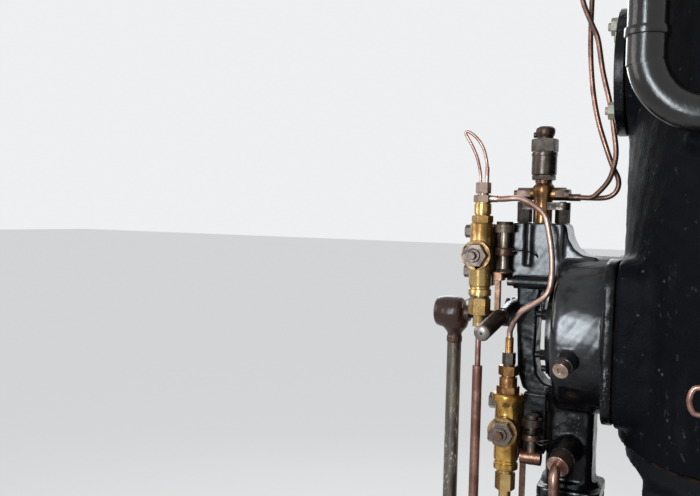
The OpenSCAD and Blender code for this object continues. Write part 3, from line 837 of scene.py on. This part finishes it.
@dataclass
class NodeDress:
    """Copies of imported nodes, welded and given real edges or a cast surface."""

    frame: dict

    def body_of(self, node: str) -> str:
        """The body that carries a node."""
        bodies = self.frame["record"]["behaviour"]["bodies"]
        return next(body for body, nodes in bodies.items() if node in nodes)

    def slot_of(self, node: str) -> str:
        """The record's slot of a node."""
        parts = self.frame["record"]["subparts"]
        return next(p["material_slot"] for p in parts if p["node"] == node)

    def copy(self, node: str) -> Object:
        """A welded copy of a node's mesh, standing for the node.

        Args:
            node: The node.

        Returns:
            The copy, at the origin.
        """
        source = self.frame["nodes"][node]
        mesh = source.data.copy()
        work = bmesh.new()
        work.from_mesh(mesh)
        bmesh.ops.remove_doubles(work, verts=work.verts, dist=WELD)
        flat = math.radians(1.0)
        bmesh.ops.dissolve_limit(work, angle_limit=flat, verts=work.verts, edges=work.edges)
        bmesh.ops.recalc_face_normals(work, faces=work.faces)
        work.to_mesh(mesh)
        work.free()
        mesh.materials.clear()
        return linked(node + "_skin", mesh)

    def edged(
        self, node: str, finish: Finish, *patches: Patch, edge: Edge = Edge.MACHINED
    ) -> Object:
        """Gives a node rounded edges.

        Args:
            node: The node.
            finish: Its finish.
            patches: Parts of it with another finish.
            edge: Size of the rounding.

        Returns:
            The piece.
        """
        obj = self.copy(node)
        obj.data.materials.append(finish.material())
        patch(obj, patches)
        bevel = obj.modifiers.new("rounded", "BEVEL")
        bevel.width = edge.value
        bevel.segments = 2
        bevel.limit_method = "ANGLE"
        bevel.angle_limit = SHARP
        bevel.harden_normals = True
        bevel.use_clamp_overlap = True
        smooth_by_angle(obj)
        return add_to(obj, self.body_of(node), self.slot_of(node), node)

    def cast(self, node: str, finish: Finish, skin: Skin, *patches: Patch) -> Object:
        """Turns a node into a casting: one skin with soft corners and uneven faces.

        The skin is moved along its normals by lumps * (0.7 w(p) + 0.3 f(p) - 0.35), where
        w and f are means of three sines of the position p, coarse and fine, along tilted
        directions. It is then held inside the node's box.

        Args:
            node: The node.
            finish: Its finish.
            skin: Cells, smoothing and unevenness.
            patches: Parts of it with another finish.

        Returns:
            The piece.
        """
        obj = self.copy(node)
        remesh = obj.modifiers.new("skin", "REMESH")
        remesh.mode = "VOXEL"
        remesh.voxel_size = skin.cell
        remesh.use_smooth_shade = True
        soft = obj.modifiers.new("soft", "SMOOTH")
        soft.factor = 0.5
        soft.iterations = skin.passes
        bpy.context.view_layer.update()
        graph = bpy.context.evaluated_depsgraph_get()
        mesh = bpy.data.meshes.new_from_object(obj.evaluated_get(graph))
        obj.modifiers.clear()
        obj.data = mesh
        count = len(mesh.vertices)
        points = np.empty(count * 3, np.float32)
        normals = np.empty(count * 3, np.float32)
        mesh.vertices.foreach_get("co", points)
        mesh.vertices.foreach_get("normal", normals)
        p = points.reshape(-1, 3).astype(float)
        n = normals.reshape(-1, 3).astype(float)
        ways = np.array([[61, 23, -41], [-37, 67, 29], [19, -43, 71]], float)
        wave = np.sin(p @ ways.T * 2.1 + [0.4, 1.9, 3.3]).sum(1) / 3
        fine = np.sin(p @ ways.T[:, ::-1] * 5.3 + [2.2, 0.3, 1.1]).sum(1) / 3
        p += n * ((wave * 0.7 + fine * 0.3 - 0.35) * skin.lumps)[:, None]
        low, high = (np.array(v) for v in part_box(node))
        p = np.clip(p, low, high)
        mesh.vertices.foreach_set("co", p.astype(np.float32).ravel())
        mesh.materials.clear()
        mesh.materials.append(finish.material())
        mesh.polygons.foreach_set("use_smooth", [True] * len(mesh.polygons))
        mesh.update()
        patch(obj, patches)
        return add_to(obj, self.body_of(node), self.slot_of(node), node)


def turned_grid(
    profile: Sequence[Sequence[float]], start: Array, way: Array, sides: int
) -> tuple[Array, list]:
    """A turned solid: P(s, t) = start + a(s) W + r(s) (cos t U + sin t V).

    Args:
        profile: Pairs of distance along the axis and radius, in metres; both ends at radius 0.
        start: Where the axis starts.
        way: Its direction.
        sides: Points round it.

    Returns:
        Points and faces.
    """
    rows = np.asarray(profile, float)
    way = np.asarray(way, float) / np.linalg.norm(way)
    near = np.eye(3)[int(np.argmin(np.abs(way)))]
    side = np.cross(way, near)
    side /= np.linalg.norm(side)
    other = np.cross(way, side)
    turn = np.linspace(0, TAU, sides, endpoint=False)
    ring = side * np.cos(turn)[:, None] + other * np.sin(turn)[:, None]
    points = np.asarray(start, float) + rows[:, :1, None] * way + rows[:, 1:, None] * ring
    return points.reshape(-1, 3), grid_quads(len(rows), sides).tolist()


@dataclass
class Line:
    """One bent pipe or wire: the points of its line, in millimetres, and its radius."""

    points: list
    radius: float
    finish: Finish
    up: Sequence[float] = (0.0, 1.0, 0.0)
    steps: int = 6
    sides: int = 18
    dents: float = 0.015

    def mesh(self) -> tuple[Array, list]:
        """The tube: r(s) = r (1 - dents (0.5 + 0.5 sin(180 s) sin(53 s + 1)))."""
        line = eased(self.points, self.steps) if self.steps > 1 else np.asarray(self.points) * MM
        along = np.concatenate([[0], np.cumsum(np.linalg.norm(np.diff(line, axis=0), axis=1))])
        waver = 1 - self.dents * (0.5 + 0.5 * np.sin(along * 180) * np.sin(along * 53 + 1))
        return tube_grid(line, self.radius * MM * waver, self.sides, np.array(self.up))


def joined(name: str, finish: Finish, *parts: tuple[Array, list]) -> Object:
    """One object of several meshes with one finish.

    Args:
        name: The piece's name.
        finish: Its finish.
        parts: Points and faces of each.

    Returns:
        The object.
    """
    verts, faces, base = [], [], 0
    for points, polys in parts:
        verts.append(points)
        faces += [[k + base for k in poly] for poly in polys]
        base += len(points)
    return object_from(name, np.vstack(verts), faces, finish)


# Sub-assemblies


@dataclass
class Pipework:
    """The bent pipes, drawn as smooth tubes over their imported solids."""

    jacket_r: float = 300.0
    jacket_top: float = 2150.0
    union_z: float = 1527.0
    pump_y: float = -80.0
    bed_z: float = 240.0
    bend: float = 100.0

    def blast(self) -> None:
        """Two thin pipes that cross on their way from the cylinder to the fuel valve."""
        z = self.union_z
        a = [(-394, z), (-372, z), (-358, 1537), (-339, 1560), (-330, 1584), (-325, 1619)]
        a += [(-331, 1666), (-341, 1722), (-357, 1786), (-369, 1852), (-382, 1884), (-403, 1937)]
        a += [(-411, 2000), (-410, 2120), (-398, 2200), (-376, 2240), (-346, 2255), (-320, 2255)]
        b = [(-394, z), (-350, z), (-330, 1534), (-320, 1550), (-321, 1569), (-332, 1592)]
        b += [(-345, 1627), (-361, 1675), (-371, 1715), (-378, 1755), (-383, 1801), (-386, 1850)]
        b += [(-386.5, 1905), (-385, 2120), (-378, 2190), (-362, 2226), (-342, 2246), (-320, 2246)]
        front = Line([(x, -8 if z < 2150 else -10, z) for x, z in a], 5.5, BLAST)
        rear = Line([(x, 9 if z < 2150 else 12, z) for x, z in b], 5.5, BLAST)
        pair = joined("blast_tubes", BLAST, front.mesh(), rear.mesh())
        add_to(pair, "engine", "copper", "blast_pipes")

    def pump_pipes(self) -> None:
        """The hairpin on the upper pump and the pipe from the upper to the lower one."""
        y = self.pump_y
        pin = [(-588, 1554), (-588, 1568), (-592, 1590), (-598, 1610), (-609, 1633), (-621, 1653)]
        pin += [(-623, 1660), (-616, 1661), (-597, 1646), (-583, 1624), (-576, 1598), (-574, 1583)]
        wire = Line([(x, y, z) for x, z in pin], 3.4, COPPER, sides=14)
        sleeve = [(0, 0), (0, 0.0045), (0.031, 0.0045), (0.034, 0.0035), (0.034, 0)]
        foot = turned_grid(sleeve, np.array([-0.574, y * MM, 1.554]), np.array([0, 0, 1.0]), 20)
        pin_tube = joined("hairpin_tube", COPPER, wire.mesh(), foot)
        add_to(pin_tube, "engine", "copper", "hairpin_pipe")
        run = [(-550, y, 1520), (-538, y, 1520), (-509, -82, 1522), (-488, -86, 1516)]
        run += [(-464, -91, 1502), (-447, -95, 1484), (-438, -98, 1450), (-432, -98, 1412)]
        run += [(-430, -98, 1373), (-433, -98, 1341), (-442, -97, 1324), (-458, -94, 1311)]
        run += [(-476, -91, 1299), (-489, -89, 1289), (-500, -86, 1276), (-507, -84, 1264)]
        run += [(-512, -82, 1253), (-515, y, 1243), (-515, y, 1231)]
        tube = Line(run, 6.4, COPPER, dents=0.03)
        add_to(joined("transfer_tube", COPPER, tube.mesh()), "engine", "copper", "transfer_pipe")

    def drains(self) -> None:
        """The drain pipe and the small oil loop on the cylinder."""
        down = [(-403.4, -110.4, 982.8), (-404.9, -117.7, 980), (-406, -126, 972)]
        down += [(-406, -130, 958), (-405.6, -130, 938), (-405.4, -130, 904), (-405.2, -130, 846)]
        down += [(-404.8, -130, 740), (-404.4, -130, 540), (-404, -130, self.bed_z)]
        drain = Line(down, 11, COPPER_DARK, up=(1, 0, 0))
        drain_tube = joined("drain_tube", COPPER_DARK, drain.mesh())
        add_to(drain_tube, "engine", "drain_copper", "drain_pipe")
        y0 = -math.sqrt(self.jacket_r**2 - 100**2) - 17
        y = y0 - 30
        half = [(-100, y0, 1216), (-100, y + 6, 1216), (-108, y, 1216), (-151, y, 1216)]
        half += [(-161, y, 1210), (-165, y, 1198)]
        loop = half + [(x, py, 2388 - z) for x, py, z in half[::-1]]
        tube = Line(loop, 5, SUCTION, up=(0.3, 0.7, 0.5), steps=8)
        add_to(joined("oil_tube", SUCTION, tube.mesh()), "engine", "copper", "oil_loop")

    def water(self) -> None:
        """The thick dark elbow with its ring seam and flanges.

        Its line leaves the head's boss, turns down on a quarter circle, turns level on
        another one and ends at the flange in front of the cylinder.
        """
        turn = math.radians(234.1)
        d = np.array([math.cos(turn), math.sin(turn), 0])
        x, y = (self.jacket_r + 126) * d[:2]
        z, end_z = self.jacket_top + 105, 1651
        r, bend, last = 60, self.bend, 34
        up = np.array([0, 0, 1])
        q = np.radians(np.linspace(0, 90, 13))[:, None]
        level = 0 * q
        top = np.array([x, y, z - r]) + r * np.cos(q) * up - r * (1 - np.sin(q)) * d
        low = [x + bend - bend * np.cos(q), level + y, end_z + bend - bend * np.sin(q)]
        turn_in = [last * np.sin(q) - last, y + last - last * np.cos(q), level + end_z]
        start = (self.jacket_r + 60) * d + z * up
        end = [0, -self.jacket_r - 5, end_z]
        line = np.vstack([start, top, [x, y, 1980], np.hstack(low), np.hstack(turn_in), end])
        tilted = (0.5, -0.5, 0.7)
        tube = Line(line.tolist(), 32, POLISHED, up=tilted, steps=3, sides=48, dents=0.002)
        soft = 0.0015

        def disc(radius: float, depth: float) -> list:
            """Profile of a flange with rounded edges."""
            rim = [(0, 0), (0, radius - soft), (soft * 0.3, radius - soft * 0.3), (soft, radius)]
            return rim + [(depth - a, b) for a, b in rim[::-1]]

        thick = 0.014
        flange_r, seam_r = 0.056, 0.036
        top_flange = ((self.jacket_r + 52) * MM * d + z * MM * up, d, flange_r)
        seam = (np.array([x, y, 1777]) * MM, up, seam_r)
        low_end = np.array([0, -self.jacket_r - 18, end_z]) * MM
        low_flange = (low_end, np.array([0, 1, 0]), flange_r)
        parts = [tube.mesh()]
        for place, way, radius in (top_flange, seam, low_flange):
            parts.append(turned_grid(disc(radius, thick), place, way, 64))
        add_to(joined("water_tube", POLISHED, *parts), "engine", "polished_dark", "water_pipe")

    def build(self) -> None:
        """All pipes."""
        self.blast()
        self.pump_pipes()
        self.drains()
        self.water()


@dataclass
class SmallWork:
    """The hand lever's grip and end, and the wires at the spindles and the neck."""

    arm_x: float = -0.527
    grip_r: float = 0.016
    pump_y: float = -80.0

    def lever(self) -> None:
        """A dark steel grip with faint rings, and a bright domed end with a centre hole.

        The dome's radius is r(t) = r0 * cos(t) ** 0.8 at depth d * sin(t).
        """
        near = np.array([self.arm_x, -0.124, 1.2784])
        way = np.array([0, -0.144, -0.0164])
        long = float(np.linalg.norm(way))
        r = self.grip_r
        body = long - 0.0075
        pitch = 0.009
        grip = [(0, 0), (0, r * 0.8), (0.003, r)]
        for k in range(1, 14):
            grip += [(k * pitch, r), (k * pitch + 0.0012, r - 0.0006)]
        grip += [(body - 0.002, r), (body, r)]
        t = np.linspace(0, 1.25, 12)
        dome = [(body - 0.001, 0), (body - 0.001, r - 0.0004)]
        dome += list(zip(body + 0.0068 * np.sin(t), (r - 0.0002) * np.cos(t) ** 0.8))
        dome += [(long - 0.0009, 0.0026), (long - 0.004, 0.0025), (long - 0.006, 0)]
        stem_from = np.array([self.arm_x, -0.0942, 1.2818])
        stem_way = np.array([0, -0.0338, -0.0038])
        stem = [(0, 0), (0, 0.01), (0.034, 0.01), (0.034, 0)]
        grip_mesh = turned_grid(grip, near, way, 64)
        stem_mesh = turned_grid(stem, stem_from, stem_way, 32)
        obj = joined("lever_grip", GRIP, grip_mesh, stem_mesh)
        add_to(obj, "rocker", "steel", "hand_lever")
        end = joined("lever_end", PLATED, turned_grid(dome, near, way, 64))
        add_to(end, "rocker", "steel")

    def wire(
        self, points: list, radius: float, finish: Finish, steps: int, dents: float = 0.0
    ) -> tuple[Array, list]:
        """A wire: a thin tube with eight sides.

        Args:
            points: Its line, in millimetres.
            radius: Its radius, in millimetres.
            finish: Not used.
            steps: Points on each stretch of the curve, or 1 for the points themselves.
            dents: Unevenness.

        Returns:
            Points and faces.
        """
        return Line(points, radius, finish, (0, 0, 1), steps, 8, dents).mesh()

    def coil(self) -> None:
        """A loose coil of wire round the lower spindle: a helix whose radius wavers."""
        turns, pitch = 2.6, 5.2
        x, y, z = -463, self.pump_y, 1032.5
        turn = np.linspace(0, turns * TAU, 96)
        r = 12.5 + 1.8 * np.sin(turn * 0.7)
        height = z + turn / TAU * pitch
        line = np.stack([x + r * np.cos(turn), y + r * np.sin(turn), height], 1)
        mesh = self.wire(line.tolist(), 1.4, DARK_STEEL, 1)
        add_to(joined("low_coil", DARK_STEEL, mesh), "drive_gear", "spindle_steel")

    def wires(self) -> None:
        """Locking wires from the guides to the castings behind."""
        upper = [(-519, -88, 1409), (-508, -94, 1413), (-494, -90, 1414)]
        upper += [(-480, -76, 1411), (-470, -60, 1404), (-468, -56, 1400)]
        lower = [(-450, -92, 1024), (-438, -97, 1027), (-424, -90, 1029)]
        lower += [(-412, -72, 1024), (-402, -58, 1014), (-398, -50, 1006)]
        again = [(-450, -90, 1020), (-440, -93, 1017), (-428, -86, 1021)]
        again += [(-418, -72, 1018), (-410, -60, 1008), (-406, -50, 1001)]
        meshes = [self.wire(path, 1.7, DARK_STEEL, 8, 0.015) for path in (upper, lower, again)]
        add_to(joined("locking_wires", DARK_STEEL, *meshes), "engine", "spindle_steel")

    def clip(self) -> None:
        """A pale wire ring round the neck under the upper pump, with its tail.

        The ring is (x + r cos a, y + r sin a, z + c a), with c the rise for a radian.
        """
        turn = np.linspace(-2.2, 4.4, 60)
        x, y, z, r = -582, self.pump_y, 1311, 19.5
        rise = 0.5
        ring = np.stack([x + r * np.cos(turn), y + r * np.sin(turn), z + turn * rise], 1)
        tail = [(-594, -101, 1311), (-603, -104, 1306), (-611, -100, 1297), (-614, -96, 1288)]
        ring_mesh = self.wire(ring.tolist(), 1.5, PLATED, 1)
        tail_mesh = self.wire(tail, 1.5, PLATED, 6)
        add_to(joined("neck_clip", PLATED, ring_mesh, tail_mesh), "engine", "spindle_steel")

    def build(self) -> None:
        """All of it."""
        self.lever()
        self.clip()
        self.coil()
        self.wires()


@dataclass(frozen=True)
class Seams:
    """Where one finish meets another on a piece, in metres."""

    guide_y: float = -0.0585
    eye_ring_z: float = 1.2175
    eye_end_x: float = -0.6865
    bar_tip_x: float = -0.5112
    upper_bolts_x: float = -0.6061
    lower_bolts_x: float = -0.5411
    lower_bolts_z: float = 1.088
    lower_heads_x: float = -0.548
    copper_z: float = 1.3
    ferrule_z: float = 1.1997
    knob_z: float = 1.6515
    gland_y: float = -0.1221
    rusty_y: float = -0.1465
    cap_z: float = 1.4662


@dataclass
class Engine:
    """The whole engine's skin, piece by piece."""

    frame: dict
    dress: NodeDress
    seams: Seams = Seams()

    def castings(self) -> None:
        """The painted castings."""
        d, at = self.dress, self.seams
        d.cast("valve_chest", CHEST_BLACK, Skin(0.003, 5, 0.0007))
        d.edged("chest_end_cover", CHEST_BLACK)
        guides = below(BROWN_STEEL, "Y", at.guide_y)
        d.cast("pump_brackets", BLACK_SMALL, Skin(0.002, 2, 0.0004), guides)
        d.cast("rocker_bracket", BLACK_SMALL, Skin(0.0025, 3, 0.0005))
        d.cast("rocker_arm", BLACK_SMALL, Skin(0.0025, 2, 0.0003))
        ring = below(BROWN_STEEL, "Z", at.eye_ring_z)
        worn_end = below(BROWN_STEEL, "X", at.eye_end_x)
        d.cast("rod_eye", BROWN, Skin(0.0015, 3, 0.0003), ring, worn_end)
        d.cast("chest_pedestal", FRAME, Skin(0.005, 4, 0.001))
        d.cast("cylinder_jacket", CHARCOAL, Skin(0.007, 8, 0.0012))
        d.cast("frame_trunk", FRAME, Skin(0.009, 5, 0.0015))
        d.edged("bedplate", FRAME, edge=Edge.CAST)
        for node in ("front_door", "back_door"):
            d.edged(node, FRAME)
        d.edged("cylinder_head", CHARCOAL, edge=Edge.CAST)
        d.edged("side_cover", BLACK, edge=Edge.CAST)
        for node in ("cross_arm", "rod_guide"):
            d.edged(node, BLACK_SMALL)
        tip = below(DARK_STEEL, "X", at.bar_tip_x)
        d.edged("regulator_bar", BLACK_SMALL, tip)

    def fittings(self) -> None:
        """The brass and steel fittings."""
        d, at = self.dress, self.seams
        d.edged("suction_fittings", BRASS)
        d.edged("test_plug", PINK_STEEL)
        coppery = below(COPPERY_BRASS, "Z", at.copper_z)
        d.edged("delivery_fittings", BRASS, coppery)
        bolts = below(STEEL, "X", at.upper_bolts_x)
        d.edged("upper_pump_body", BRASS, bolts)
        bolts = Patch(STEEL, high=(at.lower_bolts_x, FAR, at.lower_bolts_z))
        heads = below(STEEL, "X", at.lower_heads_x)
        d.edged("lower_pump_body", DARK_BRASS, bolts, heads)
        d.edged("fuel_valve_neck", BRONZE, edge=Edge.CRISP)
        low_nut = below(STEEL, "Z", at.ferrule_z)
        d.edged("delivery_nuts", PINK_STEEL, coppery, low_nut)
        knob = above(UNION, "Z", at.knob_z)
        d.edged("fuel_valve_body", STEEL, knob)
        for node in ("right_union", "left_union"):
            d.edged(node, UNION)
        for node in ("head_nuts", "filter_box"):
            d.edged(node, STEEL)
        steel_end = below(GLAND, "Y", at.gland_y)
        d.edged("upper_gland", GLAND_BRASS, steel_end)
        rusty = below(RUSTY, "Y", at.rusty_y)
        d.edged("lower_gland", GLAND_BRASS, steel_end, rusty)
        cap = above(DARK_STEEL, "Z", at.cap_z)
        d.edged("upper_plunger", SPINDLE, cap)
        d.edged("lower_plunger", LOW_SPINDLE)
        d.edged("valve_clamp", DARK_STEEL)
        d.edged("side_cover_bolts", CREAM)
        d.edged("drive_rod", ROD)
        d.edged("drain_union", DRAIN_NUT)
        d.edged("suction_pipes", SUCTION, edge=Edge.CRISP)

    def build(self) -> None:
        """Everything in order."""
        self.castings()
        self.fittings()
        Pipework().build()
        SmallWork().build()


# Studio


@dataclass(frozen=True)
class Lamp:
    """A soft rectangular lamp: its place, aim, size in metres, radiance and tint."""

    name: str
    place: Sequence[float]
    aim: Sequence[float]
    wide: float
    high: float
    glow: float
    tint: Colour


COOL = (0.86, 0.94, 1.0)
LAMPS = (
    Lamp("strip", (-0.82, -2.45, 1.75), (-0.4, 0.0, 1.75), 0.15, 2.0, 26.0, COOL),
    Lamp("window", (-0.9, -2.6, 1.7), (-0.4, 0.0, 1.7), 0.8, 1.5, 8.5, COOL),
    Lamp("side", (-2.7, -1.0, 1.9), (-0.4, 0.0, 1.3), 1.3, 1.3, 3.2, (1.0, 0.97, 0.93)),
    Lamp("back", (-1.6, 2.2, 2.5), (-0.4, 0.0, 1.4), 1.5, 1.5, 4.5, (0.95, 0.98, 1.0)),
)


@dataclass
class Studio:
    """Camera at the photo's viewing angle, pale floor and soft lights."""

    eye: Sequence[float] = (-0.156, -1.678, 1.480)
    turn: float = 24.6
    dip: float = 2.5
    lean: float = 1.4
    lens: float = 39.6

    def camera(self) -> None:
        """Sets the camera from its turn to the left, its dip and its lean."""
        yaw, pitch, roll = (math.radians(v) for v in (self.turn, self.dip, self.lean))
        ahead_flat = np.array([-math.sin(yaw), math.cos(yaw), 0])
        right_flat = np.array([math.cos(yaw), math.sin(yaw), 0])
        up = np.array([0, 0, 1.0])
        ahead = math.cos(pitch) * ahead_flat - math.sin(pitch) * up
        top = math.cos(pitch) * up + math.sin(pitch) * ahead_flat
        right = math.cos(roll) * right_flat + math.sin(roll) * top
        above = -math.sin(roll) * right_flat + math.cos(roll) * top
        data = bpy.data.cameras.new("camera")
        data.lens, data.sensor_width = self.lens, 36.0
        data.clip_start = 0.05
        cam = linked("camera", data)
        rows = [list(v) for v in zip(right, above, -ahead, self.eye)]
        cam.matrix_world = Matrix([*rows, [0, 0, 0, 1]])
        bpy.context.scene.camera = cam

    def hang(self, lamp: Lamp) -> None:
        """Hangs one lamp, its power E = pi L w h from its radiance L and its area."""
        data = bpy.data.lights.new(lamp.name, "AREA")
        data.shape, data.size, data.size_y = "RECTANGLE", lamp.wide, lamp.high
        data.color = lamp.tint
        data.energy = lamp.glow * math.pi * lamp.wide * lamp.high
        obj = linked(lamp.name, data)
        obj.location = lamp.place
        way = Vector(lamp.aim) - Vector(lamp.place)
        obj.rotation_euler = way.to_track_quat("-Z", "Y").to_euler()

    def background(self, tree: Tree, dark: float, pale: float) -> Value:
        """A strength that is pale to the camera and in gloss and dark to soft light.

        Args:
            tree: The floor's or the world's nodes.
            dark: Strength for soft light.
            pale: Strength for the camera and for mirrored rays.

        Returns:
            The strength.
        """
        kinds = ("Is Camera Ray", "Is Glossy Ray", "Is Transmission Ray")
        flags = [tree.value("ShaderNodeLightPath", {}, {}, kind) for kind in kinds]
        return (flags[0] + flags[1] + flags[2]).clipped().to(dark, pale)

    def floor(self) -> None:
        """A wide pale floor on which the engine stands: z = 0 over a square."""
        tree = Tree(bpy.data.materials.new("floor"))
        flat = {"Base Color": (0.8, 0.8, 0.79, 1.0), "Roughness": 0.9, "Specular IOR Level": 0.0}
        matt = Value(tree, tree.node("ShaderNodeBsdfPrincipled", {}, flat).outputs[0])
        glow = tree.value("ShaderNodeEmission", {}, {"Color": (0.88, 0.89, 0.9, 1.0)})
        share = self.background(tree, 0.0, 0.62)
        mixed = tree.value("ShaderNodeMixShader", {}, {0: share, 1: matt, 2: glow})
        tree.node("ShaderNodeOutputMaterial", {}, {0: mixed})
        mesh = bpy.data.meshes.new("floor")
        far = 40.0
        corners = [(-far, -far, 0), (far, -far, 0), (far, far, 0), (-far, far, 0)]
        mesh.from_pydata(corners, [], [(0, 1, 2, 3)])
        mesh.materials.append(tree.owner)
        obj = linked("floor", mesh)

    def sky(self) -> None:
        """A pale world that the camera and gloss see pale, and that lights softly."""
        scene = bpy.context.scene
        scene.world = bpy.data.worlds.new("world")
        tree = Tree(scene.world)
        strength = self.background(tree, 0.35, 0.88)
        inputs = {"Color": (0.97, 0.985, 1.0, 1.0), "Strength": strength}
        back = tree.value("ShaderNodeBackground", {}, inputs)
        tree.node("ShaderNodeOutputWorld", {}, {0: back})
        scene.view_settings.view_transform = "Standard"

    def build(self) -> None:
        """Everything round the engine."""
        self.camera()
        for lamp in LAMPS:
            self.hang(lamp)
        self.floor()
        self.sky()


def main() -> None:
    """Builds the studio and the engine."""
    logging.basicConfig(level=logging.INFO, format="%(message)s")
    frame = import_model()
    Studio().build()
    Engine(frame, NodeDress(frame)).build()


if __name__ == "__main__":
    main()
